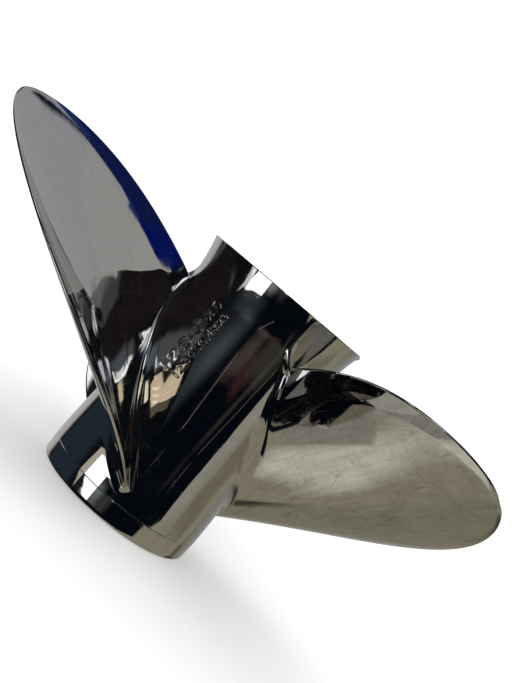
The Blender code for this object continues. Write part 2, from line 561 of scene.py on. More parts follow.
@dataclass(frozen=True)
class PolishedSteel:
    """Mirror-polished stainless steel: waves and strokes of hand polishing, scratches and smudges.

    The strokes run slantwise out along a blade that stands at the azimuth, or around the shaft where
    there is none. A barrel's finish also turns to bare casting inside its bore.
    """

    name: str
    azimuth: float | None = None
    wear: float = 0.5
    color: Color = (0.62, 0.615, 0.60)
    worn_color: Color = (0.44, 0.425, 0.395)
    roughness: float = 0.022
    waves: Grain = Grain(55.0, 1.0, 0.4, 0.00004)
    ripples: Grain = Grain(150.0, 1.0, 0.8, 0.000008)
    strokes: Marks = Marks(1.0, 3.0, 0.6, 0.44, 0.64)
    stroke_wear: float = 0.40
    stroke_depth: float = 0.0000008
    stroke_turn: float = -54.0
    stroke_rise: float = 37.0
    strokes_along: float = 16.0
    strokes_across: float = 300.0
    turning_marks_per_metre: float = 420.0
    turning_marks_per_radian: float = 4.0
    smudges: Marks = Marks(30.0, 6.0, 1.2, 0.47, 0.70)
    smudge_wear: float = 0.40
    smudge_roughness: float = 0.085
    specks: Marks = Marks(260.0, 3.0, 0.0, 0.44, 0.64)
    speck_wear: float = 0.25
    scratches: tuple[Scratches, ...] = (
        Scratches(-72.0, 29.0, 9.0, 120.0, 0.12, 0.013, Marks(38.0, 3.0, 0.0, 0.48, 0.57)),
        Scratches(-20.0, 50.0, 12.0, 105.0, 0.2, 0.008, Marks(44.0, 3.0, 0.0, 0.53, 0.62)))
    scratch_wear: float = 0.75
    scratch_roughness: float = 0.13
    scratch_depth: float = 0.000001
    cast_radius: float | None = None
    cast_edge: float = 0.0003
    cast_color: Color = (0.36, 0.355, 0.34)
    cast_roughness: float = 0.42
    cast_grain: Grain = Grain(900.0, 4.0, 0.0, 0.00018)

    def stroke_place(self, sketch: FinishSketch) -> Socket:
        """Place on which the long fine strokes of the polishing are read.

        Args:
            sketch: The material.

        Returns:
            The place.
        """
        if self.azimuth is None:
            return sketch.around_shaft(self.turning_marks_per_metre, self.turning_marks_per_radian)
        return sketch.combed(self.azimuth + self.stroke_turn, self.stroke_rise, self.strokes_along,
                             self.strokes_across)

    def build(self) -> Material:
        """Make the material.

        Returns:
            The material.
        """
        sketch = FinishSketch(self.name)
        smudges = self.smudges.strength(sketch)
        specks = self.specks.strength(sketch)
        strokes = self.strokes.strength(sketch, self.stroke_place(sketch))
        scratches = 0.0
        for kind in self.scratches:
            scratches = sketch.reckon("MAXIMUM", kind.strength(sketch, self.azimuth or 0.0), scratches)
        marked = sketch.reckon("MULTIPLY", smudges, self.smudge_wear * self.wear)
        for marks, share in ((strokes, self.stroke_wear), (specks, self.speck_wear),
                             (scratches, self.scratch_wear)):
            marked = sketch.reckon("MULTIPLY_ADD", marks, share * self.wear, marked)
        color = sketch.blend(marked, self.color, self.worn_color)
        roughness = sketch.blend(smudges, self.roughness, self.smudge_roughness)
        roughness = sketch.blend(scratches, roughness, self.scratch_roughness)
        layers = [self.waves.layer(sketch), self.ripples.layer(sketch), (strokes, self.stroke_depth),
                  (scratches, self.scratch_depth)]
        if self.cast_radius is not None:
            inside = sketch.spread(sketch.distance(), self.cast_radius + self.cast_edge, self.cast_radius)
            color = sketch.blend(inside, color, self.cast_color)
            roughness = sketch.blend(inside, roughness, self.cast_roughness)
            grain, depth = self.cast_grain.layer(sketch)
            layers.append((sketch.reckon("MULTIPLY", inside, grain), depth))
        return sketch.finish(color, roughness, 1.0, sketch.relief(*layers))


@dataclass(frozen=True)
class CastSteel:
    """Bare stainless casting: fine sand grain, pits, and a brownish film in patches."""

    name: str = "cast_stainless"
    color: Color = (0.44, 0.435, 0.42)
    roughness: float = 0.38
    film: Marks = Marks(46.0, 6.0, 0.8, 0.48, 0.66, 0.8)
    film_color: Color = (0.24, 0.20, 0.155)
    film_roughness: float = 0.62
    grain: Grain = Grain(950.0, 4.0, 0.0, 0.00016)
    crests: Marks = Marks(950.0, 4.0, 0.0, 0.35, 0.65, 0.35)
    crest_roughness: float = 0.28
    pit_scale: float = 420.0
    pit_floor: float = 0.08
    pit_edge: float = 0.22
    pit_depth: float = 0.00025

    def build(self) -> Material:
        """Make the material.

        Returns:
            The material.
        """
        sketch = FinishSketch(self.name)
        film = self.film.strength(sketch)
        color = sketch.blend(film, self.color, self.film_color)
        roughness = sketch.blend(film, self.roughness, self.film_roughness)
        roughness = sketch.blend(self.crests.strength(sketch), roughness, self.crest_roughness)
        pits = sketch.spread(sketch.cells(self.pit_scale), self.pit_floor, self.pit_edge)
        normal = sketch.relief(self.grain.layer(sketch), (pits, self.pit_depth))
        return sketch.finish(color, roughness, 1.0, normal)


@dataclass(frozen=True)
class BushingRubber:
    """Moulded black rubber with a grey bloom and a dull, grainy skin."""

    name: str = "black_rubber"
    color: Color = (0.018, 0.018, 0.019)
    roughness: float = 0.62
    bloom: Marks = Marks(70.0, 6.0, 0.6, 0.46, 0.72, 0.7)
    bloom_color: Color = (0.075, 0.073, 0.070)
    bloom_roughness: float = 0.85
    grain: Grain = Grain(1500.0, 3.0, 0.0, 0.00006)

    def build(self) -> Material:
        """Make the material.

        Returns:
            The material.
        """
        sketch = FinishSketch(self.name)
        bloom = self.bloom.strength(sketch)
        color = sketch.blend(bloom, self.color, self.bloom_color)
        roughness = sketch.blend(bloom, self.roughness, self.bloom_roughness)
        return sketch.finish(color, roughness, 0.0, sketch.relief(self.grain.layer(sketch)))


@dataclass(frozen=True)
class SleeveBrass:
    """Broached brass: fine lengthways tool marks, a little tarnish and dark grease in places."""

    name: str = "sleeve_brass"
    color: Color = (0.62, 0.45, 0.19)
    roughness: float = 0.22
    tarnish: Marks = Marks(60.0, 6.0, 0.7, 0.50, 0.70, 0.85)
    tarnish_color: Color = (0.30, 0.19, 0.08)
    tarnish_roughness: float = 0.50
    tool_marks: Grain = Grain(1.0, 2.0, 0.0, 0.00002)
    tool_mark_scale: tuple[float, float, float] = (1800.0, 1800.0, 40.0)

    def build(self) -> Material:
        """Make the material.

        Returns:
            The material.
        """
        sketch = FinishSketch(self.name)
        tarnish = self.tarnish.strength(sketch)
        color = sketch.blend(tarnish, self.color, self.tarnish_color)
        roughness = sketch.blend(tarnish, self.roughness, self.tarnish_roughness)
        place = sketch.vector("MULTIPLY", sketch.place, self.tool_mark_scale)
        return sketch.finish(color, roughness, 1.0, sketch.relief(self.tool_marks.layer(sketch, place)))


@dataclass(frozen=True)
class PaleFloor:
    """Plain pale floor, dull and faintly lit from within, so that it stays almost white."""

    name: str = "floor_pale"
    color: Color = (0.68, 0.68, 0.68)
    glow_color: Color = (1.0, 1.0, 1.0)
    glow: float = 0.28

    def build(self) -> Material:
        """Make the material.

        Returns:
            The material.
        """
        sketch = FinishSketch(self.name)
        for name, value in (("Specular IOR Level", 0.0), ("Emission Color", self.glow_color),
                            ("Emission Strength", self.glow)):
            sketch.feed(sketch.shader.inputs[name], value)
        return sketch.finish(self.color, 1.0, 0.0)


@dataclass
class HubBarrel:
    """Hollow hub barrel with a turned front collar and a flared aft rim.

    The barrel's length and aft radius come from the frame.
    """

    front_radius: float = 0.0554
    front_rounding: float = 0.0012
    collar_radius: float = 0.0559
    collar_height: float = 0.0130
    groove_depth: float = 0.00022
    groove_half_width: float = 0.0003
    waist_radius: float = 0.0545
    waist_height: float = 0.0600
    flare_foot_radius: float = 0.0547
    flare_length: float = 0.0280
    flare_power: float = 1.8
    wall_thickness: float = 0.0032
    rim_thickness: float = 0.0020
    rim_edge: float = 0.0004
    rim_edge_height: float = 0.0005
    mouth_edge: float = 0.0006
    collar_points: int = 8
    middle_points: int = 48
    flare_points: int = 28
    flare_points_inside: int = 20
    bore_steps: int = 23
    turn_steps: int = 320
    sharp: float = 28.0
    length: float = field(default_factory=lambda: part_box("barrel")[1].z)
    aft_radius: float = field(default_factory=lambda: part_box("barrel")[1].x)

    def radius(self, height: np.ndarray | float) -> np.ndarray:
        """Outside radius at heights along the axis.

        Args:
            height: Heights above the front end.

        Returns:
            The radii.
        """
        height = np.asarray(height, float)
        foot = self.length - self.flare_length
        front = between(self.front_radius, self.collar_radius, height / self.collar_height)
        share = np.clip((height - self.collar_height) / (self.waist_height - self.collar_height), 0, 1)
        middle = between(self.collar_radius, self.waist_radius, share * share * (3 - 2 * share))
        share = np.clip((height - self.waist_height) / (foot - self.waist_height), 0, 1)
        middle = middle + (self.flare_foot_radius - self.waist_radius) * share
        share = np.clip((height - foot) / self.flare_length, 0, 1)
        aft = between(self.flare_foot_radius, self.aft_radius, share ** self.flare_power)
        return np.where(height < self.collar_height, front, np.where(height < foot, middle, aft))

    def outline(self, start: float, end: float, count: int) -> Profile:
        """Points on the outside between two heights.

        Args:
            start: The first height.
            end: The last height.
            count: Number of points.

        Returns:
            The points, both ends included.
        """
        heights = np.linspace(start, end, count)
        return list(zip(self.radius(heights), heights))

    def build(self, mat: Material) -> Piece:
        """Turn the barrel.

        Args:
            mat: The barrel's finish.

        Returns:
            The piece.
        """
        foot, rim = self.length - self.flare_length, self.length - self.rim_edge_height
        groove, half = self.collar_height, self.groove_half_width
        profile = self.outline(self.front_rounding, groove - half, self.collar_points)
        profile.append((float(self.radius(groove)) - self.groove_depth, groove))
        profile += self.outline(groove + half, foot, self.middle_points)
        profile += self.outline(foot, rim, self.flare_points)[1:]
        bore = self.flare_foot_radius - self.wall_thickness
        rim_bore = self.aft_radius - self.rim_thickness
        profile += [(self.aft_radius - self.rim_edge, self.length), (rim_bore + self.rim_edge, self.length),
                    (rim_bore, rim)]
        for share in np.linspace(1.0, 0.0, self.flare_points_inside)[1:]:
            radius = between(bore, rim_bore, share ** self.flare_power)
            profile.append((radius, foot + self.flare_length * share))
        profile += wall(bore, foot, self.mouth_edge, self.bore_steps)
        profile += [(bore, self.mouth_edge), (bore + self.mouth_edge, 0.0)]
        centre = (self.front_radius - self.front_rounding, self.front_rounding)
        profile += arc(centre, self.front_rounding, -90, -8, 8)
        piece = turned(profile, self.turn_steps, self.sharp)
        return dress(piece, "hub_barrel", mat, Slot.STEEL, "barrel")


@dataclass
class PropellerBlade:
    """Left-hand blade: skewed, raked aft, cupped along its trailing edge, filleted into the hub.

    Across the blade, -1 is the leading edge and 1 the trailing edge. Through it, 0 is the astern
    face and 1 the forward face.
    """

    hub: HubBarrel
    azimuth: float
    tip_radius: float = 8 * INCH - 0.0001
    pitch: float = 18.5 * INCH
    root_middle_height: float = 0.0755
    root_half_angle: float = math.radians(43.4)
    outline_taper: float = 0.57
    tip_fullness: float = 3.1
    skew: float = math.radians(29.0)
    skew_linear: float = 0.35
    rake: float = 0.0463
    rake_power: float = 0.9
    trailing_lift: float = 0.0055
    leading_lift: float = 0.0044
    cup_root_width: float = 0.0150
    cup_tip_width: float = 0.0045
    cup_share: float = 0.80
    cup_power: float = 1.5
    root_thickness: float = 0.0115
    tip_thickness: float = 0.0024
    nose_root: float = 0.0018
    nose_tip: float = 0.0012
    trailing_root: float = 0.0024
    trailing_tip: float = 0.0012
    tip_rounding: float = 0.0012
    swell: float = 0.0040
    swell_reach: float = 0.25
    fillet_rise: float = 0.0042
    fillet_width: float = 0.0090
    fillet_at_nose: float = 0.45
    fillet_at_tail: float = 0.06
    sunk: float = 0.0008
    face_steps: int = 84
    edge_steps: int = 6
    span_points: int = 100
    fillet_steps: int = 14
    tip_points: int = 5
    tip_step: float = 0.001
    sharp: float = 32.0

    def point(self, share: np.ndarray, across: np.ndarray, depth: np.ndarray, spread: np.ndarray,
              bulge: np.ndarray) -> np.ndarray:
        """Points of the blade's skin.

        Args:
            share: Share of the span from root to tip.
            across: Place across the blade.
            depth: Place through the blade.
            spread: How far the root fillet stands out from the blade's face.
            bulge: How far the rounded edges stand out, as a share of half their thickness.

        Returns:
            An array of points, one row each.
        """
        out = np.maximum(share, 0.0)
        mean = between(self.hub.waist_radius, self.tip_radius, out)
        advance = self.pitch / (2 * math.pi)
        slope = np.arctan2(advance, mean)
        # Outline: half the blade's width as an angle, and the turn of its middle line
        half = self.root_half_angle * (1 - self.outline_taper * out ** 2)
        half = half * np.sqrt(np.maximum(0.0, 1 - out ** self.tip_fullness))
        sweep = self.skew * between(out ** 2, out, self.skew_linear)
        # Thickness: the blunt edges, the body between them and the rounded tip
        nose = between(self.nose_root, self.nose_tip, out)
        tail = between(self.trailing_root, self.trailing_tip, out)
        edge = between(nose, tail, (across + 1) / 2)
        body = between(self.root_thickness, self.tip_thickness, out)
        full = between(edge, body, 1 - across ** 2)
        start = 1 - self.tip_rounding / (self.tip_radius - self.hub.waist_radius)
        kept = np.sqrt(np.maximum(0.0, 1 - np.maximum(0.0, (out - start) / (1 - start)) ** 2))
        # Root: the fillet and the swell over it, both weaker towards the edges
        ends = between(1, np.where(across < 0, self.fillet_at_nose, self.fillet_at_tail), across ** 2)
        spread = spread * ends
        swell = self.swell * np.maximum(0.0, 1 - out / self.swell_reach) ** 2 * ends
        ahead = spread * across * np.abs(across) + np.sign(across) * bulge * edge / 2 * kept
        turn = sweep + across * half + ahead / np.hypot(mean, advance)
        # Lift: the leading edge, and the trailing edge with its cup
        width = between(self.cup_root_width, self.cup_tip_width, out)
        chord = half * np.hypot(mean, advance)
        cup = np.maximum(0.0, 1 - (1 - across) * chord / width) ** self.cup_power
        part = self.cup_share * width / self.cup_root_width
        trailing = self.trailing_lift * between(across ** 2, cup, part)
        lift = np.where(across < 0, self.leading_lift * across ** 2, trailing) * (1 - out ** 6)
        # Height and angle on the helix, and the radius out from the barrel's skin
        outer = edge / 2 + spread + swell
        through = full + 2 * spread + swell
        offset = outer - through * (1 - kept) / 2 - through * kept * depth
        height = self.root_middle_height + advance * turn + self.rake * out ** self.rake_power + lift
        height = height + offset * np.cos(slope)
        radius = between(self.hub.radius(height), self.tip_radius, share)
        return around(radius, self.azimuth - turn + offset * np.sin(slope) / mean, height)

    def build(self, name: str, node: str, mat: Material) -> Piece:
        """Loft the blade.

        Args:
            name: Name of the piece.
            node: CAD node that it stands for.
            mat: The blade's finish.

        Returns:
            The piece.
        """
        span = self.tip_radius - self.hub.waist_radius
        turns = np.linspace(0, math.pi / 2, self.fillet_steps + 1)
        rises = self.fillet_rise * (1 - np.cos(turns)) / span
        spreads = self.fillet_width * (1 - np.sin(turns))
        first = math.asin(rises[-1]) / (math.pi / 2)
        outer = np.sin(math.pi / 2 * np.linspace(first, 1.0, self.span_points)[1:])
        start = 1 - self.tip_rounding / span
        ends = start + (1 - start) * np.sin(np.linspace(0, math.pi / 2, self.tip_points))
        outer = np.concatenate([outer[outer < start - self.tip_step], ends])
        shares = np.concatenate([[-self.sunk / span] * 2, rises, outer])
        spreads = np.concatenate([spreads[:1], spreads[:1], spreads, np.zeros(len(outer))])
        places = np.sin(math.pi / 2 * np.linspace(-1, 1, self.face_steps + 1))
        rounds = np.linspace(0, math.pi, self.edge_steps + 1)[1:-1]
        flat, edge = np.zeros(len(places)), np.ones(len(rounds))
        across = np.concatenate([places, edge, places[::-1], -edge])
        depth = np.concatenate([flat, (1 - np.cos(rounds)) / 2, flat + 1, (1 + np.cos(rounds)) / 2])
        bulge = np.concatenate([flat, np.sin(rounds), flat, np.sin(rounds)])

        def place(row: np.ndarray, column: np.ndarray) -> np.ndarray:
            """Points of the blade's skin by row and column."""
            # The first row lies in the middle of the blade, so the root face follows the barrel
            deep = np.where(row == 0, 0.5, depth[column])
            return self.point(shares[row], across[column], deep, spreads[row], bulge[column] * (row > 0))

        piece = skinned(len(shares), len(across), place, self.sharp)
        return dress(piece, name, mat, Slot.STEEL, node)


@dataclass
class TrailingRidge:
    """Low ridge that runs from a blade's trailing edge over the flare to the aft rim."""

    hub: HubBarrel
    azimuth: float
    start_height: float = 0.1338
    start_turn: float = math.radians(-41.0)
    end_turn: float = math.radians(-54.0)
    bend_length: float = 0.0235
    bend_power: float = 2.6
    crest: float = 0.0036
    crest_run: float = 0.0034
    crest_length: float = 0.0075
    low_crest: float = 0.0008
    half_width: float = 0.0044
    end_half_width: float = 0.0032
    edge_sunk: float = 0.00005
    sunk: float = 0.0010
    rim_margin: float = 0.0006
    fade: float = 0.0018
    rows: int = 70
    top_points: int = 28
    sharp: float = 50.0

    def build(self, name: str, mat: Material) -> Piece:
        """Lay the ridge on the barrel.

        Args:
            name: Name of the piece.
            mat: The finish.

        Returns:
            The piece.
        """
        heights = np.linspace(self.start_height, self.hub.length - self.rim_margin, self.rows)
        run = np.clip((heights - self.start_height) / self.bend_length, 0, 1)
        turns = between(self.end_turn, self.start_turn, (1 - run) ** self.bend_power)
        past = np.maximum(0.0, heights - self.start_height - self.crest_run) / self.crest_length
        crests = self.low_crest + self.crest * np.exp(-past ** 1.5)
        crests = crests * np.clip((heights[-1] - heights) / self.fade, 0, 1) ** 0.5
        halves = between(self.half_width, self.end_half_width, run)
        top = np.linspace(-1, 1, self.top_points)
        across = np.concatenate([top, top[::-1]])
        is_under = np.arange(len(across)) >= len(top)

        def place(row: np.ndarray, column: np.ndarray) -> np.ndarray:
            """Points of the ridge by row, along it, and column, around it.

            Args:
                row: Numbers of the rows.
                column: Numbers of the columns.

            Returns:
                The points.
            """
            skin = self.hub.radius(heights[row])
            rise = crests[row] * (0.5 + 0.5 * np.cos(math.pi * across[column])) - self.edge_sunk
            angle = self.azimuth + turns[row] - across[column] * halves[row] / skin
            return around(skin + np.where(is_under[column], -self.sunk, rise), angle, heights[row])

        piece = skinned(self.rows, len(across), place, self.sharp)
        return dress(piece, name, mat, Slot.STEEL)


@dataclass
class RaisedDigits:
    """Row of plain raised digits, cast on the barrel and polished over."""

    hub: HubBarrel
    digits: str
    azimuth: float
    start_height: float
    length: float
    tallness: float
    relief: float = 0.00080
    sunk: float = 0.0006
    extrude: float = 0.05
    thickening: float = 0.022
    bevel: float = 0.018
    bevel_steps: int = 2
    curve_steps: int = 6
    merge: float = 1e-6
    sharp: float = 40.0

    def build(self, name: str, mat: Material) -> Piece:
        """Write the row and bend it round the barrel.

        Args:
            name: Name of the piece.
            mat: The finish.

        Returns:
            The piece.
        """
        deselect_all()
        bpy.ops.object.text_add()
        text = bpy.context.object.data
        text.body = self.digits
        text.extrude = self.extrude
        text.offset = self.thickening
        text.bevel_depth = self.bevel
        text.bevel_resolution = self.bevel_steps
        text.resolution_u = self.curve_steps
        bpy.ops.object.convert(target="MESH")
        obj = bpy.context.object
        points = corners(obj)
        low, high = points.min(axis=0), points.max(axis=0)
        along, up, out = ((points - low) / (high - low)).T
        height = self.start_height + self.length * along
        skin = self.hub.radius(height)
        radius = skin - self.sunk + (self.sunk + self.relief) * out
        angle = self.azimuth - self.tallness * up / skin
        reshape(obj, around(radius, angle, height), self.merge, self.sharp)
        return dress(obj, name, mat, Slot.STEEL)


@dataclass
class InnerHub:
    """Cast tube inside the barrel, bored for the bushing, with a thrust seat in front."""

    radius: float = 0.0310
    bore: float = 0.0252
    front: float = 0.0080
    aft: float = 0.1280
    shoulder_bore: float = 0.0225
    shoulder_height: float = 0.1180
    mouth_bore: float = 0.0272
    mouth_depth: float = 0.0100
    rounding: float = 0.0010
    chamfer: float = 0.0005
    wall_steps: int = 19
    turn_steps: int = 144
    sharp: float = 35.0

    def build(self, mat: Material) -> Piece:
        """Turn the tube.

        Args:
            mat: The casting's finish.

        Returns:
            The piece.
        """
        edge, cut = self.rounding, self.chamfer
        seat, shoulder = self.front + self.mouth_depth, self.shoulder_height
        profile = arc((self.radius - edge, self.aft - edge), edge, 90, 0, 5)
        profile += wall(self.radius, self.aft - edge, self.front + edge, self.wall_steps)
        profile += arc((self.radius - edge, self.front + edge), edge, 0, -90, 5)
        profile += [(self.mouth_bore + cut, self.front), (self.mouth_bore, self.front + cut)]
        profile += [(self.bore + cut, seat - cut), (self.bore, seat + cut)]
        profile += wall(self.bore, seat, shoulder, self.wall_steps)
        profile += [(self.bore + cut, shoulder - 2 * cut), (self.bore + cut, shoulder),
                    (self.shoulder_bore + cut, shoulder), (self.shoulder_bore, shoulder + cut),
                    (self.shoulder_bore, self.aft - cut), (self.shoulder_bore + cut, self.aft)]
        piece = turned(profile, self.turn_steps, self.sharp)
        return dress(piece, "inner_hub_tube", mat, Slot.CASTING, "inner_hub")


@dataclass
class HubRib:
    """Cast wall that carries the inner hub, filleted into the tube and the barrel."""

    azimuth: float
    inner_radius: float = 0.0310
    outer_radius: float = 0.0515
    thickness: float = 0.0060
    fillet: float = 0.0035
    front: float = 0.0160
    aft: float = 0.1200
    sunk: float = 0.0004
    tip_half: float = 0.0001
    flank_points: int = 29
    rounding_points: int = 7
    wall_points: int = 24
    sharp: float = 40.0

    def build(self, name: str, node: str, mat: Material) -> Piece:
        """Loft the wall.

        Args:
            name: Name of the piece.
            node: CAD node that it stands for.
            mat: The casting's finish.

        Returns:
            The piece.
        """
        share = (1 - np.cos(np.linspace(0, math.pi, self.flank_points))) / 2
        radii = between(self.inner_radius - self.sunk, self.outer_radius + self.sunk, share)
        flank = np.zeros(len(radii))
        for skin, way in ((self.inner_radius, 1.0), (self.outer_radius, -1.0)):
            near = np.clip(1 - way * (radii - skin) / self.fillet, 0, 1)
            flank = flank + self.fillet * (1 - np.sqrt(1 - near ** 2))
        rounds = np.linspace(0, math.pi / 2, self.rounding_points)
        half = self.thickness / 2
        ends = half * (1 - np.cos(rounds))
        middle = np.linspace(self.front + half, self.aft - half, self.wall_points)[1:-1]
        heights = np.concatenate([self.front + ends, middle, (self.aft - ends)[::-1]])
        bodies = np.concatenate([np.sin(rounds), np.ones(len(middle)), np.sin(rounds)[::-1]]) * half
        radius_loop = np.concatenate([radii, radii[::-1]])
        flank_loop = np.concatenate([flank, flank[::-1]])
        side_loop = np.concatenate([np.ones(len(radii)), -np.ones(len(radii))])

        def place(row: np.ndarray, column: np.ndarray) -> np.ndarray:
            """Points of the rib by row, along the shaft, and column, around the rib.

            Args:
                row: Numbers of the rows.
                column: Numbers of the columns.

            Returns:
                The points.
            """
            radius = radius_loop[column]
            reach = np.maximum(bodies[row] + flank_loop[column], self.tip_half)
            return around(radius, self.azimuth + side_loop[column] * np.arcsin(reach / radius), heights[row])

        piece = skinned(len(heights), len(radius_loop), place, self.sharp)
        return dress(piece, name, mat, Slot.CASTING, node)


@dataclass
class RubberBushing:
    """Rubber ring bonded to the sleeve, with lips and a moulded groove at both ends."""

    outer: float = 0.0250
    inner: float = 0.0172
    front: float = 0.0260
    aft: float = 0.1120
    lip: float = 0.0012
    groove: float = 0.0010
    chamfer: float = 0.0003
    wall_steps: int = 15
    turn_steps: int = 144
    sharp: float = 45.0

    def build(self, mat: Material) -> Piece:
        """Turn the bushing.

        Args:
            mat: The rubber's finish.

        Returns:
            The piece.
        """
        middle, lip, cut = (self.outer + self.inner) / 2, self.lip, self.chamfer
        profile = arc((self.outer - lip, self.aft - lip), lip, 90, 0, 6)
        profile += wall(self.outer, self.aft - lip, self.front + lip, self.wall_steps)
        profile += arc((self.outer - lip, self.front + lip), lip, 0, -90, 6)
        profile += arc((middle, self.front), self.groove, 0, 180, 8)
        profile += [(self.inner + cut, self.front), (self.inner, self.front + cut),
                    (self.inner, self.aft - cut), (self.inner + cut, self.aft)]
        profile += arc((middle, self.aft), self.groove, 180, 360, 8)
        piece = turned(profile, self.turn_steps, self.sharp)
        return dress(piece, "rubber_ring", mat, Slot.RUBBER, "rubber_bushing")


@dataclass
class SplinedSleeve:
    """Brass sleeve, broached with splines for the shaft."""

    radius: float = 0.0172
    front: float = 0.0200
    aft: float = 0.1160
    splines: int = 15
    crest: float = 0.0128
    valley: float = 0.0142
    crest_end: float = 0.36
    valley_start: float = 0.48
    valley_end: float = 0.88
    chamfer: float = 0.0006
    steps_per_spline: int = 24
    wall_points: int = 12
    sharp: float = 30.0

    def build(self, mat: Material) -> Piece:
        """Shape the sleeve.

        Args:
            mat: The brass finish.

        Returns:
            The piece.
        """
        columns = self.splines * self.steps_per_spline
        phase = np.arange(columns) / self.steps_per_spline % 1.0
        teeth = np.interp(phase, (0.0, self.crest_end, self.valley_start, self.valley_end, 1.0),
                          (self.crest, self.crest, self.valley, self.valley, self.crest))
        cut = self.chamfer
        heights = np.linspace(self.aft - cut, self.front + cut, self.wall_points)
        outside = [(self.radius - cut, self.aft)] + [(self.radius, height) for height in heights]
        outside.append((self.radius - cut, self.front))
        # Inside, a row gives how far it lies past the teeth
        inside = [(cut, self.front)] + [(0.0, height) for height in heights[::-1]] + [(cut, self.aft)]
        rows = np.array(outside + inside)
        is_inside = np.arange(len(rows)) >= len(outside)

        def place(row: np.ndarray, column: np.ndarray) -> np.ndarray:
            """Points of the sleeve by row and column."""
            radius = rows[row, 0] + np.where(is_inside[row], teeth[column], 0.0)
            return around(radius, 2 * math.pi * column / columns, rows[row, 1])

        piece = skinned(len(rows), columns, place, self.sharp, rows_join=True)
        return dress(piece, "broached_sleeve", mat, Slot.BRASS, "splined_sleeve")


@dataclass(frozen=True)
class Patch:
    """A soft-edged patch of the surroundings that the polished steel mirrors.

    Directions are seen from the propeller in the photograph's frame: longitude 0 is the camera,
    90 is to its right, latitude 90 is the top of the picture. All angles are degrees.
    """

    name: str
    longitude: float
    latitude: float
    half_width: float
    half_height: float
    softness: float
    color: Color
    roll: float = 0.0


SURROUNDINGS = (
    Patch("table", 0.0, -57.0, 400.0, 33.0, 1.5, (0.31, 0.285, 0.215)),
    Patch("floor_right", 132.0, -22.0, 46.0, 16.0, 8.0, (0.27, 0.265, 0.24)),
    Patch("table_shade_far", -168.0, -40.0, 22.0, 18.0, 16.0, (0.25, 0.23, 0.175)),
    Patch("table_lit", 58.0, -46.0, 15.0, 4.0, 7.0, (0.355, 0.342, 0.285)),
    Patch("table_brown", 102.0, -48.5, 20.0, 4.0, 10.0, (0.205, 0.182, 0.128)),
    Patch("table_dark", 158.0, -48.0, 17.0, 7.5, 13.0, (0.045, 0.040, 0.028)),
    Patch("table_dark_low", -158.0, -64.0, 16.0, 4.5, 8.5, (0.055, 0.048, 0.034)),
    Patch("table_bright", -100.0, -47.0, 28.0, 10.0, 12.0, (0.68, 0.65, 0.55)),
    Patch("table_end", -114.0, -23.0, 16.0, 9.0, 1.5, (0.43, 0.42, 0.365)),
    Patch("table_band", -100.5, -32.0, 18.5, 5.0, 1.5, (0.30, 0.29, 0.245), 8.0),
    Patch("dark_front_left", -26.0, -20.0, 46.0, 23.0, 1.5, (0.002, 0.0035, 0.007)),
    Patch("dark_front_right", 20.0, -20.0, 32.0, 28.0, 1.5, (0.002, 0.0035, 0.007)),
    Patch("navy_wall", -97.0, 24.0, 30.0, 14.0, 10.0, (0.020, 0.030, 0.045)),
    Patch("ceiling", 0.0, 70.0, 400.0, 16.0, 8.0, (0.019, 0.0155, 0.0155)),
    Patch("ceiling_behind", -165.0, 66.0, 48.0, 17.0, 14.0, (0.10, 0.10, 0.105)),
    Patch("ceiling_behind_low", -168.0, 50.0, 32.0, 9.0, 14.0, (0.26, 0.26, 0.26)),
    Patch("light_behind_left", -170.0, 16.0, 34.0, 24.0, 12.0, (0.52, 0.53, 0.52), 25.0),
    Patch("light_behind_high", -150.0, 47.0, 30.0, 7.0, 2.0, (0.60, 0.61, 0.60), 25.0),
    Patch("light_behind_right", 174.0, -2.0, 20.0, 24.0, 12.0, (0.34, 0.34, 0.32)),
    Patch("bright_ceiling_right", 112.0, 60.0, 38.0, 9.0, 4.0, (1.5, 1.55, 1.6)),
    Patch("blue_sheet", 93.0, 36.5, 42.0, 5.5, 1.5, (0.005, 0.013, 0.080)),
    Patch("blue_sheet_low", 75.0, 33.0, 28.0, 3.5, 3.0, (0.002, 0.0085, 0.125)),
    Patch("blue_sheet_top", 108.0, 37.0, 8.0, 1.6, 2.0, (0.016, 0.033, 0.16)),
    Patch("grey_wall", 142.0, 22.0, 30.0, 16.2, 1.2, (0.375, 0.385, 0.40)),
    Patch("grey_wall_near", 110.0, 22.0, 22.0, 13.2, 1.2, (0.40, 0.40, 0.395), 10.0),
    Patch("grey_wall_low", 84.0, 20.0, 22.0, 11.3, 1.2, (0.42, 0.415, 0.41), 4.0),
    Patch("soft_glow_wide", -17.0, 49.0, 17.0, 6.0, 6.0, (0.145, 0.165, 0.195)),
    Patch("soft_glow", 8.0, 47.0, 5.0, 6.0, 5.0, (0.15, 0.15, 0.155)),
    Patch("lamp_left", 2.2, 42.2, 4.9, 1.3, 1.0, (1.6, 1.65, 1.7), -42.0),
    Patch("lamp_right", 44.5, 42.0, 7.0, 6.0, 3.0, (1.3, 1.35, 1.4), -20.0),
)


@dataclass(frozen=True)
class Softbox(Patch):
    """A flat soft light near the propeller, seen only in the steel.

    Its distance is in metres, and its softness is the share of its half sizes over which it fades.
    """

    distance: float = 0.62


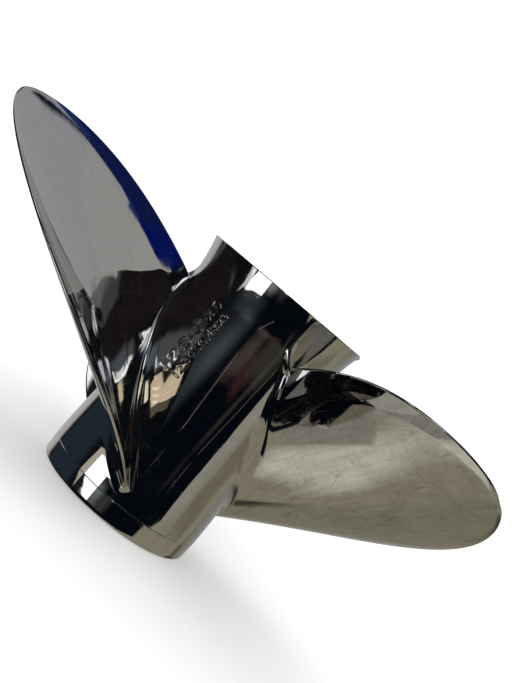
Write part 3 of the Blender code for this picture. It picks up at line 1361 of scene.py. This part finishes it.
SOFTBOXES = (
    Softbox("dim_blue_wide", -31.0, 12.5, 22.0, 12.0, 0.7, (0.026, 0.029, 0.032), -40.0, 0.60),
    Softbox("dim_blue", -19.0, 11.5, 17.0, 7.5, 0.95, (0.042, 0.048, 0.053), -37.0, 0.60),
    Softbox("dim_tan_left", -25.0, -15.0, 11.2, 6.7, 0.9, (0.050, 0.043, 0.038), -30.0),
    Softbox("dim_line", -3.2, -8.0, 0.5, 7.0, 0.1, (0.15, 0.105, 0.090)),
    Softbox("dim_tan", 3.0, -6.0, 11.9, 4.8, 0.8, (0.066, 0.051, 0.043), -35.0),
    Softbox("dim_brown", 13.5, -16.5, 14.4, 3.2, 0.75, (0.042, 0.017, 0.014), -46.0),
    Softbox("dim_olive", 27.0, -21.5, 21.5, 5.0, 0.7, (0.042, 0.038, 0.027), -37.0),
    Softbox("dim_olive_low", 28.0, -29.5, 10.5, 4.0, 0.8, (0.032, 0.028, 0.021), 35.0),
    Softbox("dim_olive_line", 36.5, -34.8, 7.5, 0.45, 0.1, (0.10, 0.09, 0.07), 32.0),
    Softbox("window_halo", -34.0, -4.5, 11.0, 6.5, 0.95, (0.24, 0.26, 0.265), -42.0),
    Softbox("window_glow", -44.0, 8.0, 19.0, 12.0, 0.95, (0.045, 0.042, 0.047), -42.0),
    Softbox("window_light", -44.2, 6.3, 11.9, 6.1, 0.05, (1.9, 1.98, 1.95), -42.0),
    Softbox("window_blind", -57.3, 15.5, 4.0, 7.3, 0.1, (0.55, 0.49, 0.40), -42.0),
    Softbox("lamp_near", 0.6, 45.0, 2.3, 4.4, 0.1, (1.9, 1.95, 2.0), 0.0, 0.25),
    Softbox("lamp_high", 22.5, 54.5, 3.6, 5.0, 0.2, (1.9, 1.95, 2.0), 0.0, 0.25),
    Softbox("cream_back", 5.4, 30.5, 8.9, 3.8, 0.05, (1.30, 1.06, 0.76), -48.0, 0.35),
    Softbox("cream_low", 13.0, 21.0, 3.3, 3.2, 0.1, (0.19, 0.155, 0.11), -48.0, 0.35),
    Softbox("cream_slat_high", 4.0, 31.6, 3.6, 1.2, 0.9, (0.9, 0.8, 0.65), 0.0, 0.35),
    Softbox("cream_slat_middle", 7.0, 28.2, 3.6, 1.2, 0.9, (0.9, 0.8, 0.65), 0.0, 0.35),
    Softbox("cream_slat_low", 9.8, 24.9, 3.6, 1.1, 0.9, (0.9, 0.8, 0.65), 0.0, 0.35),
    Softbox("cream_strip", -8.3, 32.2, 8.5, 0.9, 0.1, (1.6, 1.45, 1.2), -43.5, 0.35),
)


@dataclass
class Studio:
    """Floor, light and camera."""

    camera_place: tuple[float, float, float] = (0.0, -0.6528, 0.1689)
    forward: tuple[float, float, float] = (0.00453, 0.99866, -0.05163)
    roll: float = math.radians(40.475)
    focal_pixels: float = 1036.6
    image_height: float = 683.0
    sensor: float = 36.0
    clip_start: float = 0.01
    soft_light: Color = (1.30, 1.30, 1.30)
    room_dark: Color = (0.006, 0.008, 0.011)
    middle: tuple[float, float, float] = (0.0, -0.03, 0.08)
    floor_size: float = 80.0
    floor_height: float = -0.0005

    def build(self) -> None:
        """Make the whole studio."""
        bpy.context.scene.view_settings.view_transform = "Standard"
        self.build_camera()
        self.build_world()
        for softbox in SOFTBOXES:
            self.build_softbox(softbox)
        self.build_floor()

    def axes(self) -> tuple[Vector, Vector, Vector]:
        """Right, up and forward of the camera.

        Returns:
            The three directions in the row frame.
        """
        forward = Vector(self.forward).normalized()
        right = forward.cross(Vector((0, 0, 1))).normalized()
        up = right.cross(forward)
        return (math.cos(self.roll) * right + math.sin(self.roll) * up,
                -math.sin(self.roll) * right + math.cos(self.roll) * up, forward)

    def build_camera(self) -> None:
        """Set the camera at the photograph's angle."""
        data = bpy.data.cameras.new("photo_camera")
        data.sensor_width = self.sensor
        data.lens = self.focal_pixels / self.image_height * self.sensor
        data.clip_start = self.clip_start
        camera = bpy.data.objects.new("photo_camera", data)
        bpy.context.scene.collection.objects.link(camera)
        right, up, forward = self.axes()
        camera.matrix_world = Matrix((right, up, -forward)).transposed().to_4x4()
        camera.location = self.camera_place
        bpy.context.scene.camera = camera

    def build_world(self) -> None:
        """Light the scene softly from all round, and give the steel a room to mirror."""
        world = bpy.data.worlds.new("studio")
        bpy.context.scene.world = world
        world.use_nodes = True
        sketch = Sketch(world.node_tree)
        is_mirrored = sketch.add("LightPath", {}).outputs["Is Glossy Ray"]
        color = sketch.blend(is_mirrored, self.soft_light, self.paint_room(sketch))
        sketch.feed(world.node_tree.nodes["Background"].inputs["Color"], color)

    def paint_room(self, sketch: Sketch) -> Socket:
        """Paint the room by direction, patch over patch.

        Args:
            sketch: The world's node tree.

        Returns:
            The socket with the room's colour.
        """
        view = sketch.add("TexCoord", {}).outputs["Generated"]
        right, up, forward = self.axes()
        ahead, level, rise = (sketch.vector("DOT_PRODUCT", view, axis) for axis in (-forward, right, up))
        longitude = sketch.reckon("DEGREES", sketch.reckon("ARCTAN2", level, ahead))
        latitude = sketch.reckon("DEGREES", sketch.reckon("ARCSINE", rise))
        room = self.room_dark
        for patch in SURROUNDINGS:
            east = sketch.reckon("SUBTRACT", longitude, patch.longitude)
            east = sketch.reckon("WRAP", east, 180.0, -180.0)
            north = sketch.reckon("SUBTRACT", latitude, patch.latitude)
            cosine, sine = math.cos(math.radians(patch.roll)), math.sin(math.radians(patch.roll))
            level = sketch.reckon("MULTIPLY_ADD", east, cosine, sketch.reckon("MULTIPLY", north, sine))
            rise = sketch.reckon("MULTIPLY_ADD", north, cosine, sketch.reckon("MULTIPLY", east, -sine))
            share = sketch.reckon("MULTIPLY", sketch.within(level, patch.half_width, patch.softness),
                                  sketch.within(rise, patch.half_height, patch.softness))
            room = sketch.blend(share, room, patch.color)
        return room

    def build_softbox(self, softbox: Softbox) -> None:
        """Hang one soft light that only the steel mirrors.

        Args:
            softbox: The light's place, size and colour.
        """
        right, up, forward = self.axes()
        longitude, latitude = math.radians(softbox.longitude), math.radians(softbox.latitude)
        outward = (math.cos(latitude) * (math.sin(longitude) * right - math.cos(longitude) * forward)
                   + math.sin(latitude) * up)
        east = math.cos(longitude) * right + math.sin(longitude) * forward
        roll = math.radians(softbox.roll)
        level = math.cos(roll) * east + math.sin(roll) * outward.cross(east)
        data = bpy.data.lights.new(softbox.name, "AREA")
        data.shape = "RECTANGLE"
        data.size = 2 * softbox.distance * math.tan(math.radians(softbox.half_width))
        data.size_y = 2 * softbox.distance * math.tan(math.radians(softbox.half_height))
        strength = max(softbox.color)
        data.color = [part / strength for part in softbox.color]
        data.energy = strength * math.pi * data.size * data.size_y
        self.fade_edges(data, softbox.softness)
        light = bpy.data.objects.new(softbox.name, data)
        bpy.context.scene.collection.objects.link(light)
        light.matrix_world = Matrix((level, outward.cross(level), outward)).transposed().to_4x4()
        light.location = Vector(self.middle) + softbox.distance * outward
        light.visible_camera = False
        light.visible_diffuse = False

    @staticmethod
    def fade_edges(data: bpy.types.Light, softness: float) -> None:
        """Let a light fade out towards its edges.

        Args:
            data: The light.
            softness: The share of its half size over which it fades.
        """
        data.use_nodes = True
        sketch = Sketch(data.node_tree)
        # The parametric place runs from 0 to 1 over the light, so 0.5 is its half size
        place = sketch.add("SeparateXYZ", {0: sketch.add("NewGeometry", {}).outputs["Parametric"]})
        fade = 0.5 * softness
        shares = [sketch.within(sketch.reckon("SUBTRACT", place.outputs[axis], 0.5), 0.5 - fade / 2, fade)
                  for axis in ("X", "Y")]
        sketch.feed(data.node_tree.nodes["Emission"].inputs["Strength"], sketch.reckon("MULTIPLY", *shares))

    def build_floor(self) -> None:
        """Lay a plain pale floor."""
        deselect_all()
        bpy.ops.mesh.primitive_plane_add(size=self.floor_size, location=(0, 0, self.floor_height))
        floor = bpy.context.object
        floor.name = "floor"
        floor.data.materials.append(PaleFloor().build())
        floor.visible_glossy = False


def main() -> None:
    """Dress the frame and set the studio."""
    logging.basicConfig(level=logging.INFO, format="%(message)s")
    hub = HubBarrel()
    casting = CastSteel().build()
    hub_steel = PolishedSteel("polished_barrel", wear=0.3, waves=replace(PolishedSteel.waves, depth=0.00006),
                              cast_radius=0.0530).build()
    hub.build(hub_steel)
    for number, turn, wear in ((1, -135.0, 0.25), (2, -15.0, 1.0), (3, 105.0, 0.7)):
        azimuth = math.radians(turn)
        blade_steel = PolishedSteel("polished_blade_%d" % number, turn, wear).build()
        PropellerBlade(hub, azimuth).build("propeller_blade_%d" % number, "blade_%d" % number, blade_steel)
        TrailingRidge(hub, azimuth).build("trailing_ridge_%d" % number, hub_steel)
        HubRib(azimuth).build("hub_rib_%d" % number, "rib_%d" % number, casting)
    large = RaisedDigits(hub, "123456", azimuth=math.radians(-117.6), start_height=0.0900,
                         length=0.0510, tallness=0.0080)
    large.build("large_digits", hub_steel)
    small = RaisedDigits(hub, "1234567890", azimuth=math.radians(-109.1), start_height=0.0915,
                         length=0.0470, tallness=0.0060)
    small.build("small_digits", hub_steel)
    InnerHub().build(casting)
    RubberBushing().build(BushingRubber().build())
    SplinedSleeve().build(SleeveBrass().build())
    Studio().build()


if __name__ == "__main__":
    main()
